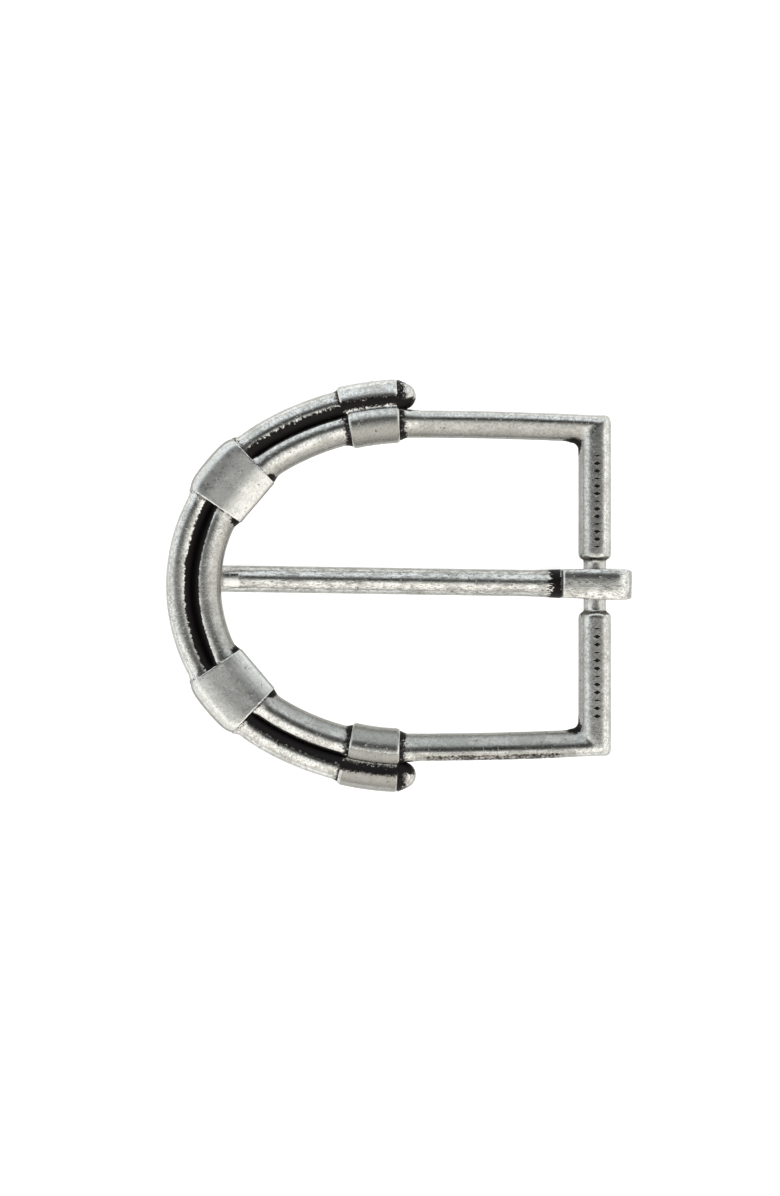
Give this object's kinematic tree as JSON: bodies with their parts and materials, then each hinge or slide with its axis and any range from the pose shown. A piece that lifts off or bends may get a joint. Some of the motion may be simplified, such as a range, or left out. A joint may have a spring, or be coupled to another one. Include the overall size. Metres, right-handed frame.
{
  "type": "belt buckle",
  "caption": "Dress belt buckle: a round-rod loop with a second rod wrapped to its bow by metal bands, a plain heel bar, and a hinged tongue that rests on the bow.",
  "frame": {"origin": "on the heel bar's axis, at mid width and at mid thickness of the rods", "axes": "+X from the bow toward the heel bar and out of the buckle, +Y along the heel bar, +Z out of the wearer's side, so the resting tongue lies on the -Z side of the bow"},
  "size_m": [0.0588, 0.052, 0.0084],
  "materials": {
    "loop_metal": "solid brass, antique silver plate, dark patina in the grooves, worn bright on the crests",
    "rail_metal": "solid brass, antique silver plate, near-black patina beside the inner rod",
    "wrap_metal": "solid brass, antique silver plate, brushed and worn bright at the edges",
    "tongue_metal": "solid brass, antique silver plate, dark under the hook's end"
  },
  "bodies": {
    "frame": {"frame_loop": "loop_metal", "outer_rail": "rail_metal", "band_upper": "wrap_metal", "band_lower": "wrap_metal", "cuff_upper": "wrap_metal", "cuff_lower": "wrap_metal"},
    "tongue": {"tongue": "tongue_metal"}
  },
  "joints": [
    {"name": "tongue_hinge", "type": "hinge", "parent": "frame", "child": "tongue", "pos_m": [0, 0, 0], "axis": [0, -1, 0], "range_deg": [0, 351]}
  ]
}
